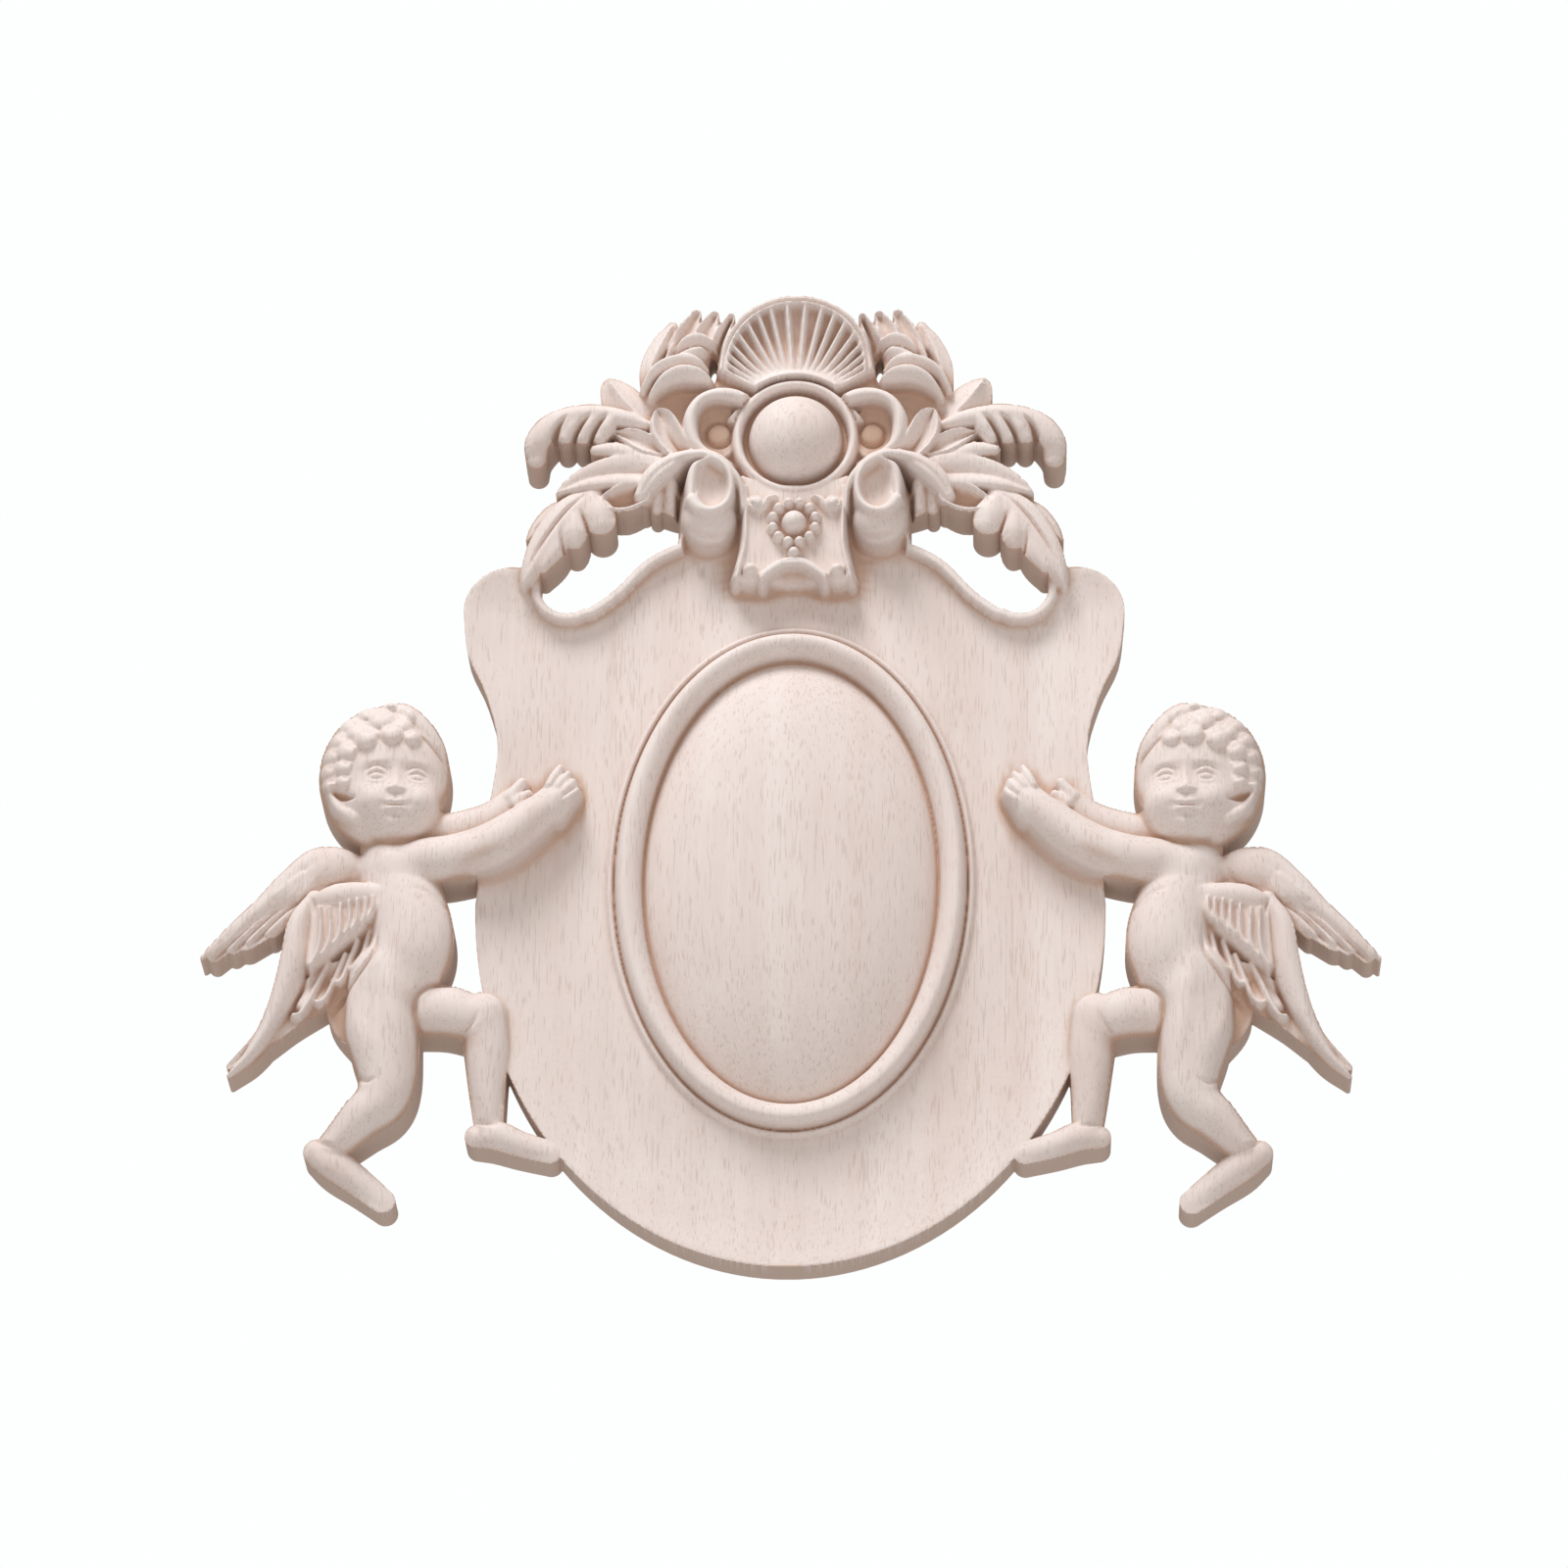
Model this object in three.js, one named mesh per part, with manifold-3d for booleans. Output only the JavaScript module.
// Carved wood applique: a shield with an oval boss under a leafy crest, held by two winged children.
// Everything is carved from one glued-up board, so the whole work is one solid with a flat back.
// X runs to the right, Z up, the front faces -Y, and the back lies in the plane y = 0.
// The origin is on the back, behind the centre of the boss. Lengths are millimetres.

import * as THREE from "three";
import { mergeVertices } from "three/addons/utils/BufferGeometryUtils.js";
import Module from "manifold-3d";

const wasm = await Module();
wasm.setup();

// Shield outline
const SHIELD_HALF_WIDTH = 106;
const SHIELD_FOOT = 138;
const BELLY_DROP = 10;
const WAIST_HALF_WIDTH = 100;
const WAIST_HEIGHT = 47;
const EAR_REACH = 113;
const EAR_HEIGHT = 97.5;
const EAR_RADIUS = 16.5;

// Shield thickness, from the flat back
const RIM_THICKNESS = 14;
const RIM_WIDTH = 3;
const FIELD_THICKNESS = 8.5;

// Open notch between the shield and the leaves
const NOTCH_RADIUS = 9.6;
const NOTCH_INSET = 26;
const NOTCH_RISE = 8.7;
const NOTCH_LENGTH = 48;
const NOTCH_SLOPE = 26;

// Oval boss: a thin fillet, a round ring, a groove and a dome
const BOSS_HALF_WIDTH = 61;
const BOSS_HALF_HEIGHT = 91;
const FILLET_WIDTH = 2.5;
const FILLET_THICKNESS = 11;
const RING_WIDTH = 7;
const RING_THICKNESS = 17.5;
const GROOVE_WIDTH = 2.5;
const GROOVE_THICKNESS = 9;
const DOME_THICKNESS = 24;

// Crest: its leaves and scrolls keep their places as hundredths of its height and of its depth,
// measured from the middle of the ball
const CREST_CENTRE = 160.4;
const CREST_HEIGHT = 100;
const CREST_DEPTH = 30;
const BALL_RADIUS = 16.3;
const BALL_RING_RADIUS = 20;
const BALL_RING_WIDTH = 3.8;
const BALL_RING_THICKNESS = 20.5;

// Shell above the ball
const SHELL_RADIUS = 26.5;
const SHELL_RISE = 25.6;
const SHELL_FOCUS = 10;
const SHELL_FLUTES = 15;
const SHELL_SPREAD = 122;
const SHELL_RIM_WIDTH = 2.6;
const SHELL_THICKNESS = 21;
const FLUTE_DEPTH = 3.2;

// Tablet below the ball, with a flower in a ring of beads
const TABLET_HALF_WIDTH = 17.3;
const TABLET_FLARE = 3.4;
const TABLET_HEIGHT = 34;
const TABLET_TOP = 138.5;
const TABLET_THICKNESS = 20;
const FLOWER_RADIUS = 5.4;
const FLOWER_DROP = 11;
const BEAD_COUNT = 12;
const BEAD_RADIUS = 2.1;

// Winged children: their limbs, wings and hair keep their proportions as hundredths of the height
// from seat to crown, measured from the navel, and of the depth of the relief
const FIGURE_SIZE = 100;
const FIGURE_DEPTH = 30;
const FIGURE_OFFSET = 25;
const NAVEL_DROP = 20;
const FEATHER_COUNT = 5;
const FINGER_COUNT = 3;

const WOOD = { color: 0xe3cfc2, roughness: 0.68, metalness: 0 };

const point = (x, z, thickness) => new THREE.Vector3(x, -thickness, z);
const mix = (a, b, t) => a + (b - a) * t;

// A closed mesh becomes a solid that can be joined and cut
function solidOf(geometry) {
  const bare = geometry.clone();
  bare.deleteAttribute("normal");
  bare.deleteAttribute("uv");
  const merged = mergeVertices(bare, 1e-4);
  const kept = [];
  for (let i = 0; i < merged.index.count; i += 3) {
    const [a, b, c] = [0, 1, 2].map((k) => merged.index.getX(i + k));
    if (a !== b && b !== c && a !== c) kept.push(a, b, c);
  }
  return new wasm.Manifold(new wasm.Mesh({
    numProp: 3,
    vertProperties: new Float32Array(merged.attributes.position.array),
    triVerts: new Uint32Array(kept),
  }));
}

const join = (solids) => solids.reduce((whole, next) => whole.add(next));

// Rings with equal numbers of points become a closed solid, with a fan over each end. The fan
// over the last ring rises to the crown.
function loft(rings, crown = 0) {
  const count = rings[0].length;
  const middle = (ring) => ring.reduce((sum, p) => sum.add(p), new THREE.Vector3()).divideScalar(count);
  const summit = middle(rings[rings.length - 1]);
  summit.y -= crown;
  const vertices = [...rings.flat(), middle(rings[0]), summit];
  const first = rings.length * count;
  const index = [];
  for (let i = 0; i < count; i += 1) {
    const next = (i + 1) % count;
    for (let r = 0; r + 1 < rings.length; r += 1) {
      const low = r * count;
      const high = low + count;
      index.push(low + i, low + next, high + next, low + i, high + next, high + i);
    }
    const last = (rings.length - 1) * count;
    index.push(first, next, i, first + 1, last + i, last + next);
  }
  const geometry = new THREE.BufferGeometry().setFromPoints(vertices);
  geometry.setIndex(index);
  const solid = solidOf(geometry);
  if (solid.volume() > 0) return solid;
  for (let i = 0; i < index.length; i += 3) [index[i], index[i + 1]] = [index[i + 1], index[i]];
  geometry.setIndex(index);
  return solidOf(geometry);
}

// An oval mound: each step of its profile is an inset from the edge and a thickness, and its
// middle rises to the top
function mound(x, z, halfWidth, halfHeight, profile, top, sides) {
  const rings = profile.map(([inset, thickness]) => {
    const oval = new THREE.EllipseCurve(x, z, halfWidth - inset, halfHeight - inset);
    return oval.getPoints(sides).slice(0, sides).map((p) => point(p.x, p.y, thickness));
  });
  return loft(rings, top - profile[profile.length - 1][1]);
}

// A carved ridge follows stations of x, z, half-width and thickness, and has an arched top
// over two upright walls. A round end adds a narrower section past its last station, and a
// perched ridge has no walls, because it sits on another form.
function ridge(stations, { arch = 1, wall = 0.75, round = [true, true], perched = false } = {}) {
  const path = new THREE.CatmullRomCurve3(
    stations.map(([x, z, half]) => new THREE.Vector3(x, z, half)), false, "catmullrom", 0.5);
  const rise = new THREE.CatmullRomCurve3(
    stations.map((s) => new THREE.Vector3(s[3], 0, 0)), false, "catmullrom", 0.5);
  const spans = stations.length - 1;
  const section = (t, shift, narrow) => {
    const { x, y: z, z: half } = path.getPoint(t);
    const tangent = path.getTangent(t).setZ(0).normalize();
    const top = rise.getPoint(t).x;
    const wide = Math.max(half, 0.4) * narrow;
    const foot = top * wall;
    const ring = perched ? [[-wide, foot]] : [[-wide, 0], [-wide, foot]];
    for (let k = 1; k <= arch; k += 1) {
      const turn = (Math.PI * k) / (arch + 1);
      ring.push([-wide * Math.cos(turn), mix(foot, top, Math.sin(turn) * narrow)]);
    }
    ring.push([wide, foot]);
    if (!perched) ring.push([wide, 0]);
    return ring.map(([side, thickness]) => point(
      x - tangent.y * side + tangent.x * shift * half,
      z + tangent.x * side + tangent.y * shift * half,
      thickness));
  };
  const rings = [];
  if (round[0]) rings.push(section(0, -0.8, 0.55));
  for (let i = 0; i <= spans; i += 1) rings.push(section(i / spans, 0, 1));
  if (round[1]) rings.push(section(1, 0.8, 0.55));
  return loft(rings);
}

// The other half of the work is the same solid seen in a mirror at x = 0
function mirrored(solid) {
  const mesh = solid.getMesh();
  const vertices = Float32Array.from(mesh.vertProperties, (value, i) => (i % 3 === 0 ? -value : value));
  const triangles = Uint32Array.from(mesh.triVerts);
  for (let i = 0; i < triangles.length; i += 3) {
    [triangles[i], triangles[i + 1]] = [triangles[i + 1], triangles[i]];
  }
  return new wasm.Manifold(new wasm.Mesh({ numProp: 3, vertProperties: vertices, triVerts: triangles }));
}

// A flat-sided block whose outline lies in the plan
function block(shape, from, to, curveSegments = 6) {
  const depth = to - from;
  const geometry = new THREE.ExtrudeGeometry(shape, { depth, bevelEnabled: false, curveSegments });
  geometry.rotateX(Math.PI / 2);
  geometry.translate(0, -from, 0);
  return solidOf(geometry);
}

// Left half of the shield's edge, from its foot round the belly, waist and ear to the top
function shieldEdge() {
  const belly = new THREE.EllipseCurve(
    0, -BELLY_DROP, SHIELD_HALF_WIDTH, SHIELD_FOOT - BELLY_DROP, -Math.PI / 2, -Math.PI, true);
  const earX = EAR_REACH - EAR_RADIUS;
  const rise = (share) => mix(WAIST_HEIGHT, EAR_HEIGHT, share);
  const waist = new THREE.CatmullRomCurve3([
    [SHIELD_HALF_WIDTH, -BELLY_DROP],
    [mix(SHIELD_HALF_WIDTH, WAIST_HALF_WIDTH, 0.45), mix(-BELLY_DROP, WAIST_HEIGHT, 0.5)],
    [WAIST_HALF_WIDTH, WAIST_HEIGHT],
    [mix(WAIST_HALF_WIDTH, EAR_REACH, 0.33), rise(0.38)],
    [mix(WAIST_HALF_WIDTH, EAR_REACH, 0.84), rise(0.68)],
    [EAR_REACH, EAR_HEIGHT],
  ].map(([x, z]) => new THREE.Vector3(-x, z, 0)));
  const ear = new THREE.EllipseCurve(
    -earX, EAR_HEIGHT, EAR_RADIUS, EAR_RADIUS, Math.PI, Math.PI * 0.42, true);
  const top = new THREE.LineCurve3(
    new THREE.Vector3(-earX + EAR_RADIUS * 0.6, EAR_HEIGHT + EAR_RADIUS, 0),
    new THREE.Vector3(0, CREST_CENTRE - BALL_RADIUS, 0));
  return [
    ...belly.getPoints(13).slice(0, -1),
    ...waist.getPoints(8).slice(0, -1),
    ...ear.getPoints(5),
    ...top.getPoints(3),
  ].map((p) => [p.x, p.y]);
}

// Shield: an upright edge, a thin raised rim and a field dished towards the boss
function shield() {
  const left = shieldEdge();
  const right = left.slice(1, -1).reverse().map(([x, z]) => [-x, z]);
  const edge = [...left, ...right];
  const inward = ([x, z], share) => {
    const turn = Math.atan2(z / BOSS_HALF_HEIGHT, x / BOSS_HALF_WIDTH);
    return [
      mix(x, (BOSS_HALF_WIDTH - 1) * Math.cos(turn), share),
      mix(z, (BOSS_HALF_HEIGHT - 1) * Math.sin(turn), share),
    ];
  };
  const inset = ([x, z], distance) => {
    const reach = Math.hypot(x, z);
    return [x * (1 - distance / reach), z * (1 - distance / reach)];
  };
  const ring = (place, thickness) => edge.map((p) => point(...place(p), thickness));
  const bed = FIELD_THICKNESS * 0.75;
  return loft([
    ring((p) => p, 0),
    ring((p) => p, RIM_THICKNESS),
    ring((p) => inset(p, RIM_WIDTH), RIM_THICKNESS),
    ring((p) => inward(p, 0.45), mix(FIELD_THICKNESS, RIM_THICKNESS, 0.3)),
    ring((p) => inward(p, 1), bed),
  ]);
}

// Open notch on the left: a round end beside the ear and a flank that climbs to the scroll
function notch() {
  const x = -(EAR_REACH - NOTCH_INSET - NOTCH_RADIUS);
  const z = EAR_HEIGHT + NOTCH_RISE;
  const shape = new THREE.Shape();
  shape.moveTo(x - NOTCH_RADIUS, z + NOTCH_LENGTH);
  shape.lineTo(x - NOTCH_RADIUS, z);
  shape.absarc(x, z, NOTCH_RADIUS, Math.PI, Math.PI * 1.75, false);
  shape.quadraticCurveTo(
    x + NOTCH_LENGTH * 0.42, z + NOTCH_SLOPE * 0.38,
    x + NOTCH_LENGTH - NOTCH_RADIUS, z - NOTCH_RADIUS + NOTCH_SLOPE);
  shape.lineTo(x + NOTCH_LENGTH - NOTCH_RADIUS, z + NOTCH_LENGTH);
  return block(shape, -1, RIM_THICKNESS + 1, 4);
}

// Boss: its fillet, ring, groove and dome are one profile swept round the oval
function boss() {
  const ringEnd = FILLET_WIDTH + RING_WIDTH;
  const domeEdge = ringEnd + GROOVE_WIDTH;
  const reach = BOSS_HALF_WIDTH - domeEdge;
  const dome = [0.12, 0.45].map((share) => [
    domeEdge + reach * share,
    mix(GROOVE_THICKNESS, DOME_THICKNESS, (1 - (1 - share) ** 2.6) ** 0.75),
  ]);
  return mound(0, 0, BOSS_HALF_WIDTH, BOSS_HALF_HEIGHT, [
    [0, 0],
    [0, FILLET_THICKNESS],
    [FILLET_WIDTH, FILLET_THICKNESS],
    [FILLET_WIDTH + RING_WIDTH * 0.35, RING_THICKNESS],
    [ringEnd - RING_WIDTH * 0.3, RING_THICKNESS],
    [ringEnd, GROOVE_THICKNESS],
    [domeEdge, GROOVE_THICKNESS],
    ...dome,
  ], DOME_THICKNESS, 32);
}

// Crest places: hundredths of the crest's height across and up from the ball, and of its depth
const crestPlace = ([across, up, half, depth]) => [
  (across * CREST_HEIGHT) / 100,
  CREST_CENTRE + (up * CREST_HEIGHT) / 100,
  (half * CREST_HEIGHT) / 100,
  (depth * CREST_DEPTH) / 100,
];
const crestRidge = (stations, options) => ridge(stations.map(crestPlace), options);

// Ball in its ring
function ball() {
  const outer = BALL_RING_RADIUS + BALL_RING_WIDTH / 2;
  const seat = BALL_RING_THICKNESS - BALL_RING_WIDTH;
  const cap = [1, 0.85, 0.5].map((share) => new THREE.Vector2(
    BALL_RADIUS * share, mix(seat, CREST_DEPTH, Math.sqrt(1 - share * share))));
  const profile = [
    new THREE.Vector2(0, 0),
    new THREE.Vector2(outer, 0),
    new THREE.Vector2(outer, seat),
    new THREE.Vector2(BALL_RING_RADIUS, BALL_RING_THICKNESS),
    new THREE.Vector2(BALL_RING_RADIUS - BALL_RING_WIDTH / 2, seat),
    ...cap,
    new THREE.Vector2(0, CREST_DEPTH),
  ];
  const geometry = new THREE.LatheGeometry(profile, 20);
  geometry.rotateX(Math.PI);
  geometry.translate(0, 0, CREST_CENTRE);
  return solidOf(geometry);
}

// Shell: flutes fan out from a focus behind the ball and end in a raised rim
function shell() {
  const centre = CREST_CENTRE + SHELL_RISE;
  const focus = CREST_CENTRE + SHELL_FOCUS;
  const lift = centre - focus;
  const stations = SHELL_FLUTES * 2;
  const reach = (turn) => {
    const along = lift * Math.cos(turn);
    return along + Math.sqrt(Math.max(along * along - lift * lift + SHELL_RADIUS ** 2, 1));
  };
  const floor = SHELL_THICKNESS - FLUTE_DEPTH;
  const rings = [];
  for (let i = 0; i <= stations; i += 1) {
    const turn = THREE.MathUtils.degToRad(SHELL_SPREAD * (i / stations - 0.5));
    const out = reach(turn);
    const rib = i % 2 === 0 ? SHELL_THICKNESS : floor;
    const at = (radius, thickness) => point(
      radius * Math.sin(turn), focus + radius * Math.cos(turn), thickness);
    rings.push([
      at(out * 0.2, 0),
      at(out * 0.2, floor),
      at(out - SHELL_RIM_WIDTH * 1.7, rib),
      at(out - SHELL_RIM_WIDTH, SHELL_THICKNESS),
      at(out, SHELL_THICKNESS),
      at(out, 0),
    ]);
  }
  return loft(rings);
}

// Tablet with concave sides and a bulging foot, its flower, beads, corner curls and foot balls
function tablet() {
  const foot = TABLET_TOP - TABLET_HEIGHT;
  const wide = TABLET_HALF_WIDTH + TABLET_FLARE;
  const shape = new THREE.Shape();
  shape.moveTo(-TABLET_HALF_WIDTH, TABLET_TOP);
  const slender = TABLET_HALF_WIDTH - 0.5;
  const waist = foot + TABLET_HEIGHT * 0.35;
  shape.quadraticCurveTo(-slender, waist, -wide, foot + 2);
  shape.quadraticCurveTo(-wide * 0.7, foot - 3, 0, foot + 0.6);
  shape.quadraticCurveTo(wide * 0.7, foot - 3, wide, foot + 2);
  shape.quadraticCurveTo(slender, waist, TABLET_HALF_WIDTH, TABLET_TOP);
  const flowerZ = TABLET_TOP - FLOWER_DROP;
  const knob = (x, z, radius, proud) => mound(
    x, z, radius, radius, [[0, TABLET_THICKNESS - 1]], TABLET_THICKNESS + proud, 6);
  const solids = [
    block(shape, 0, TABLET_THICKNESS),
    mound(0, flowerZ, FLOWER_RADIUS, FLOWER_RADIUS, [
      [0, TABLET_THICKNESS - 1],
      [FLOWER_RADIUS * 0.3, TABLET_THICKNESS + 3],
    ], TABLET_THICKNESS + 4.5, 9),
  ];
  const beadCircle = FLOWER_RADIUS + BEAD_RADIUS * 1.5;
  for (let i = 0; i < BEAD_COUNT; i += 1) {
    const turn = (2 * Math.PI * (i + 0.5)) / BEAD_COUNT;
    solids.push(knob(beadCircle * Math.cos(turn), flowerZ + beadCircle * Math.sin(turn), BEAD_RADIUS, 2));
  }
  for (const side of [-1, 1]) {
    solids.push(knob(side * TABLET_HALF_WIDTH * 0.72, TABLET_TOP - 5, BEAD_RADIUS * 1.5, 2.6));
    solids.push(knob(side * TABLET_HALF_WIDTH * 0.86, foot + 7, BEAD_RADIUS * 1.6, 2.4));
  }
  return join(solids);
}

// Scrolls on the left of the ball: a volute with an eye above, and a hollow bracket below
function scrolls() {
  const [eyeX, eyeZ, eyeRadius, eyeTop] = crestPlace([-26.5, 1.4, 4.3, 76]);
  const volute = [];
  const turns = 7;
  for (let i = 0; i <= turns; i += 1) {
    const turn = THREE.MathUtils.degToRad(mix(50, 280, i / turns));
    volute.push([-26.8 + 9.2 * Math.cos(turn), 4.8 + 9.6 * Math.sin(turn), 3.4, 84]);
  }
  const bracket = crestRidge([
    [-29, -11, 9.5, 86], [-29, -24, 9.6, 92], [-29, -36, 9, 62],
  ], { arch: 2, wall: 0.8 });
  const [cupX, cupZ, cupHalf] = crestPlace([-28, -17.5, 5.2, 0]);
  const cup = mound(cupX, cupZ, cupHalf, cupHalf * 1.65, [
    [cupHalf * 0.5, CREST_DEPTH * 0.7], [0, CREST_DEPTH * 1.1],
  ], CREST_DEPTH * 1.1, 9);
  const bed = CREST_DEPTH * 0.5;
  return [
    crestRidge(volute, { wall: 0.8, round: [false, false] }),
    mound(eyeX, eyeZ, eyeRadius * 2, eyeRadius * 2, [[0, 0], [0, bed]], bed, 8),
    mound(eyeX, eyeZ, eyeRadius, eyeRadius, [[0, 0], [eyeRadius * 0.2, eyeTop * 0.95]], eyeTop, 8),
    bracket.subtract(cup),
    crestRidge([[-38, -6.5, 2.4, 88], [-28, -6.6, 2.4, 90], [-20.5, -12, 2.2, 88], [-18.4, -22, 1.8, 84]],
      { wall: 0.85, round: [false, false] }),
    crestRidge([[-37, -18, 1.8, 88], [-34.5, -26, 3, 92]], { wall: 0.6, perched: true }),
  ];
}

// Leaves on the left. A leaf ends in a sharp tip and a lobe ends round; both have walls down to
// the back. A vein is a leaf that lies on a web or on a broader leaf.
function leaves() {
  const leaf = (stations) => crestRidge(stations, { round: [false, false], wall: 0.78 });
  const lobe = (stations) => crestRidge(stations, { round: [false, true], wall: 0.78 });
  const vein = (stations) => crestRidge(stations, { round: [false, false], wall: 0.56, perched: true });
  const web = (stations) => crestRidge(stations, { arch: 0, wall: 1, round: [false, true] });
  const solids = [
    web([[-10, -8, 21, 44], [-35, -8, 20.5, 44], [-55, -11, 8, 44], [-67, -15, 5, 44]]),
    web([[-12, 20, 15, 44], [-34, 27, 11, 44], [-43, 33, 6, 44]]),
    web([[-48, -2, 11, 44], [-42, 24, 9, 44]]),
    web([[-60, -15, 6, 44], [-74, -26, 6, 44]]),
    // Hooked leaf with its hanging lobes
    crestRidge([
      [-46, 3, 3, 72], [-61, 7.2, 4.6, 75], [-76, 7, 4.8, 76], [-87.5, 1, 4.6, 74], [-89.4, -7.6, 3.4, 62],
    ], { arch: 2, wall: 0.7, round: [false, true] }),
    // Upright leaf, and the two leaves beside the volute
    leaf([[-52, 7, 5, 56], [-59, 14.5, 7, 60], [-63.5, 20.5, 4, 54], [-65.6, 24, 1, 48]]),
    vein([[-43, -7.5, 2.8, 78], [-52, -2.6, 4, 78], [-62, 1.6, 0.6, 66]]),
    vein([[-38, -3, 3.2, 76], [-45, 4, 4, 76], [-50.8, 10.8, 0.6, 64]]),
    // Long leaves that sweep to the left under the hooked one
    lobe([[-50, -9, 2.8, 74], [-65, -6.4, 2.4, 66]]),
    leaf([[-42, -12, 4, 72], [-60, -12.6, 4.6, 70], [-72, -16.2, 3.4, 66], [-81, -21.4, 0.6, 56]]),
    vein([[-50, -17, 3, 66], [-66, -18.2, 2.6, 68], [-80.5, -21.4, 0.6, 60]]),
    // Broad band that curls down beside the bracket, and its round lobes
    crestRidge([[-37, -7, 2.4, 84], [-46, -13.6, 3.4, 82], [-55, -21, 3, 72]],
      { wall: 0.5, perched: true, round: [false, true] }),
    lobe([[-53, -18.5, 3.4, 70], [-61.5, -22.5, 3.6, 68]]),
    lobe([[-44, -15, 4.4, 66], [-45, -24, 4.2, 60]]),
    // Lower leaf that comes down on the ear of the shield, with its side lobes
    leaf([[-69, -22, 4.5, 66], [-80, -33, 6.4, 72], [-88.5, -45, 3.8, 68], [-92.2, -52.6, 0.6, 60]]),
    leaf([[-75, -22.5, 3, 56], [-84, -26, 2.6, 54], [-91, -34, 1.2, 50]]),
    lobe([[-73, -28.5, 5, 70], [-66, -31.5, 6, 68]]),
    lobe([[-77, -33, 4.4, 70], [-75.5, -38, 4.2, 68]]),
    lobe([[-81, -41, 4.2, 68], [-84.5, -49, 3, 62]]),
  ];
  const hanging = 3;
  for (let i = 0; i < hanging; i += 1) {
    const across = mix(-79, -66.5, i / (hanging - 1));
    solids.push(lobe([[across + 1.5, 5, 3, 68], [across, 1.6, 3.2, 64]]));
  }
  // Two arched fronds beside the shell
  for (const rise of [0, 6]) {
    solids.push(vein([
      [-34, 20 + rise, 2.4, 64],
      [-44, 21.5 + rise, 3, 68],
      [-50 - rise * 0.2, 13 + rise * 0.5, 0.6, 60],
    ]));
  }
  // Upright fronds behind the shell, from the outermost one inwards
  const fronds = 4;
  for (let i = 0; i < fronds; i += 1) {
    const t = i / (fronds - 1);
    solids.push(lobe([
      [mix(-48.5, -27.5, t), mix(19, 32, t), mix(4.4, 2.4, t), mix(48, 60, t)],
      [mix(-47.8, -25.6, t), mix(34, 40, t), mix(4.6, 3, t), mix(50, 62, t)],
      [mix(-43.4, -23, t), mix(45, 46.6, t) + 2.8 * Math.sin(Math.PI * t), 1.9, mix(46, 58, t)],
    ]));
  }
  return solids;
}

// Small gap that shows between the fronds and the shell
function peephole() {
  const [x, z, half] = crestPlace([-28.6, 30, 1.8, 0]);
  return mound(x, z, half, half * 1.9, [[0, -1], [0, CREST_DEPTH]], CREST_DEPTH, 6);
}

// Figure places: hundredths of its size across and up from the navel, and of its depth
const figurePlace = ([across, up, half, depth]) => [
  -(SHIELD_HALF_WIDTH + FIGURE_OFFSET) + (across * FIGURE_SIZE) / 100,
  -NAVEL_DROP + (up * FIGURE_SIZE) / 100,
  (half * FIGURE_SIZE) / 100,
  (depth * FIGURE_DEPTH) / 100,
];
const figureRidge = (stations, options) => ridge(stations.map(figurePlace), options);
const figureMound = (across, up, wide, tall, profile, top, sides) => {
  const [x, z, halfWidth, height] = figurePlace([across, up, wide, top]);
  const steps = profile.map(([inset, depth]) => [
    (inset * FIGURE_SIZE) / 100, (depth * FIGURE_DEPTH) / 100]);
  return mound(x, z, halfWidth, (tall * FIGURE_SIZE) / 100, steps, height, sides);
};

// Trunk, limbs, hands and feet of the left child
function body() {
  const limb = (stations, options = {}) => figureRidge(stations, {
    arch: 2, wall: 0.62, round: [false, true], ...options });
  const foot = { arch: 1, round: [true, true] };
  const fingertip = { arch: 1, wall: 0.4, perched: true };
  const solids = [
    limb([
      [-3, 24, 13, 82], [0, 9, 16, 90], [1.8, -6, 16.8, 94], [-3.5, -21, 14.5, 88],
    ], { arch: 3, round: [true, true] }),
    limb([[-8, 12, 8, 60], [-10.5, -8, 8, 62], [-12, -24, 8, 66]], { arch: 1 }),
    limb([
      [-6, -20, 13.5, 88], [-3.6, -40, 12, 90], [-2, -56, 9.6, 84], [-10, -64, 8.3, 78],
      [-18.5, -73.5, 5.6, 66],
    ]),
    limb([[-24.4, -79, 5.2, 58], [-15, -86, 5.6, 60], [-2, -95.2, 3.8, 46]], foot),
    limb([[3, -27, 10, 70], [16, -27.5, 9.6, 74], [28, -31.5, 8, 70]]),
    limb([[28.6, -30, 7.4, 68], [30, -50, 6.6, 64], [32, -67, 5, 56]]),
    limb([[28.4, -73, 4.4, 58], [39, -74.4, 4.4, 58], [52.5, -78, 3.5, 52]], foot),
    limb([
      [-9, 21.5, 8.8, 86], [17, 24, 8.2, 90], [34, 30, 7.4, 88], [46.5, 40, 5.8, 82], [53, 47, 5.4, 74],
    ]),
    limb([[7, 37, 5, 62], [24, 38.6, 5, 62], [37, 47, 4.4, 60]], { arch: 1 }),
    limb([[37, 47, 2, 62], [40, 54, 1.8, 60]], fingertip),
    limb([[-5, 34, 10, 72], [-4, 25, 12, 78]], { arch: 1, round: [false, false] }),
  ];
  // Low web that closes the slit between the two arms
  solids.push(limb([[3, 31, 4, 50], [30, 34, 4, 50]], { arch: 0, wall: 1 }));
  for (let i = 0; i < FINGER_COUNT; i += 1) {
    const turn = THREE.MathUtils.degToRad(mix(95, 25, i / (FINGER_COUNT - 1)));
    const finger = (reach) => [52.4 + reach * Math.cos(turn), 47.4 + reach * Math.sin(turn)];
    solids.push(limb([[...finger(2), 1.7, 70], [...finger(8), 1.5, 62]], fingertip));
  }
  return solids;
}

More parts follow.
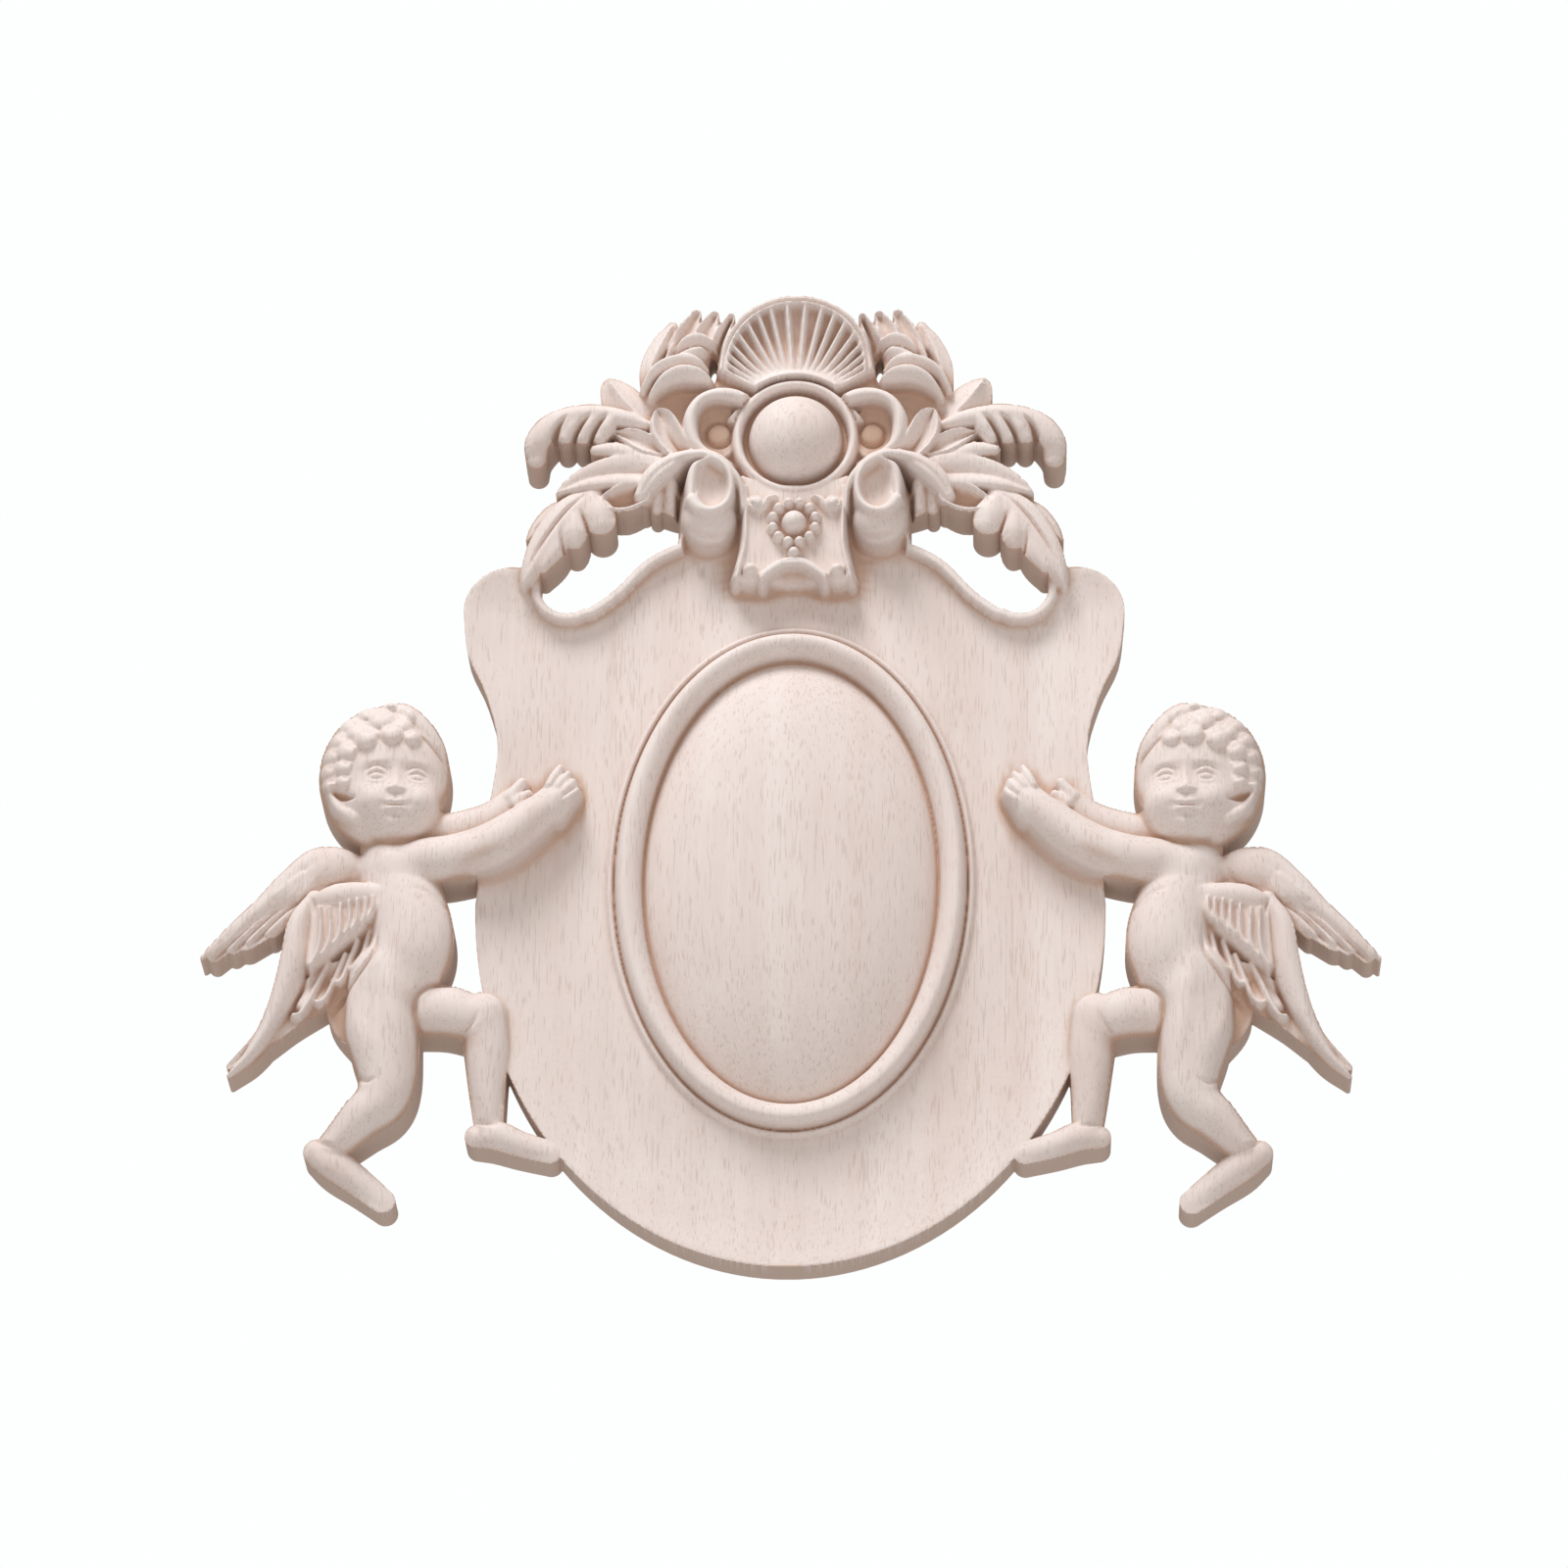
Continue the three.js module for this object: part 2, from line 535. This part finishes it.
// Head with a plain calm child's face, a pointed ear and curls
function head() {
  const feature = (stations) => figureRidge(stations, { wall: 0.85, round: [false, true], perched: true });
  const lid = (across, up, wide) => figureMound(across, up, wide, wide * 0.56, [[0, 90]], 99, 6);
  const solids = [
    figureMound(-6, 56, 21.5, 26, [[0, 0], [0, 46], [2.4, 72], [9, 91], [16, 98]], 99, 16),
    feature([[0.4, 55, 1.4, 98], [1.2, 47.6, 2.8, 104]]),
    lid(-7.6, 53.2, 4.4),
    lid(7.8, 52, 3.6),
    feature([[-4, 40.4, 1.4, 98], [4.6, 39.6, 1.4, 97]]),
    figureRidge([[-26, 51.5, 1.4, 72], [-21, 46, 3.6, 80], [-16, 40.4, 2, 78]], {
      wall: 0.8, round: [false, false] }),
  ];
  // Curls: a row along the hairline and a row on the crown
  const rows = [
    { count: 4, from: 192, to: 72, across: 17, up: 14, radius: 5.4, depth: 92 },
    { count: 4, from: 172, to: 62, across: 18.5, up: 22, radius: 5, depth: 78 },
  ];
  for (const row of rows) {
    for (let i = 0; i < row.count; i += 1) {
      const turn = THREE.MathUtils.degToRad(mix(row.from, row.to, i / (row.count - 1)));
      solids.push(figureMound(-6.5 + row.across * Math.cos(turn), 57 + row.up * Math.sin(turn),
        row.radius, row.radius, [[0, row.depth - 24], [1.4, row.depth + 4]], row.depth + 9, 5));
    }
  }
  return solids;
}

// Wings: a strong leading edge, and rows of feathers laid out between their first and last one
function wings() {
  const solids = [];
  const row = (count, first, last, perched) => {
    for (let i = 0; i < count; i += 1) {
      const t = i / (count - 1);
      const stations = first.map((station, s) => station.map((value, k) => mix(value, last[s][k], t)));
      const quill = { wall: 1, arch: 0, round: [false, true] };
      const covert = { wall: 0.6, perched: true, round: [false, true] };
      solids.push(figureRidge(stations, perched ? covert : quill));
    }
  };
  // Near wing: a low web, shoulder, leading edge, long quills, then two rows of shorter feathers
  solids.push(
    figureRidge([[-24, 12, 8, 50], [-21, -26, 7, 50]], { arch: 0, wall: 1, round: [false, true] }),
    figureRidge([[-14, 19, 6, 66], [-24, 15, 7, 74], [-30, 8, 6, 76]], {
      arch: 2, wall: 0.7, round: [false, true] }),
    figureRidge([
      [-28, 13, 4.6, 76], [-33.6, -2, 4.8, 78], [-38.4, -20, 4.2, 74], [-56, -51.4, 1, 48],
    ], { wall: 0.75, round: [false, false] }),
  );
  row(2,
    [[-33, -14, 5, 60], [-40, -32, 5, 60], [-50, -45.6, 1.8, 50]],
    [[-26, -12, 5, 60], [-30, -25, 5, 60], [-33.6, -33.4, 3, 54]], false);
  row(FEATHER_COUNT,
    [[-31, -6, 3, 66], [-35.6, -33, 1.8, 64]],
    [[-12, 12, 3, 70], [-7.4, -1, 1.8, 64]], false);
  row(FEATHER_COUNT,
    [[-29, 6, 2, 76], [-30.4, -11.6, 1.4, 74]],
    [[-15, 16, 2, 76], [-10, 3.6, 1.4, 74]], true);
  // Far wing
  solids.push(figureRidge([
    [-15, 21, 5.5, 54], [-28, 24.4, 5, 62], [-44, 11, 4.2, 60], [-66.4, -9, 0.9, 48],
  ], { wall: 0.75, round: [false, false] }));
  row(2,
    [[-27, 18, 5, 48], [-38, 6, 5, 48], [-46, -2, 2.6, 46]],
    [[-40, 10, 3.4, 50], [-52, -1.4, 3.6, 50], [-62, -8.6, 1.4, 46]], false);
  return solids;
}

const leftSide = join([...scrolls(), ...leaves(), ...body(), ...head(), ...wings()]);
const notches = [notch(), mirrored(notch())];
const plate = notches.reduce((whole, gap) => whole.subtract(gap), shield());
const holes = [peephole(), mirrored(peephole())];
const whole = join([plate, boss(), leftSide, mirrored(leftSide), shell(), ball(), tablet()]);
const carved = holes.reduce((rest, hole) => rest.subtract(hole), whole);

// The carved solid as a mesh with flat facets
function meshOf(solid) {
  const data = solid.getMesh();
  const geometry = new THREE.BufferGeometry();
  geometry.setAttribute("position", new THREE.BufferAttribute(Float32Array.from(data.vertProperties), 3));
  geometry.setIndex(new THREE.BufferAttribute(Uint32Array.from(data.triVerts), 1));
  geometry.computeVertexNormals();
  return geometry;
}

const applique = new THREE.Mesh(meshOf(carved), new THREE.MeshStandardMaterial(WOOD));
applique.name = "carved_applique";

const model = new THREE.Group();
model.add(applique);

export default model;
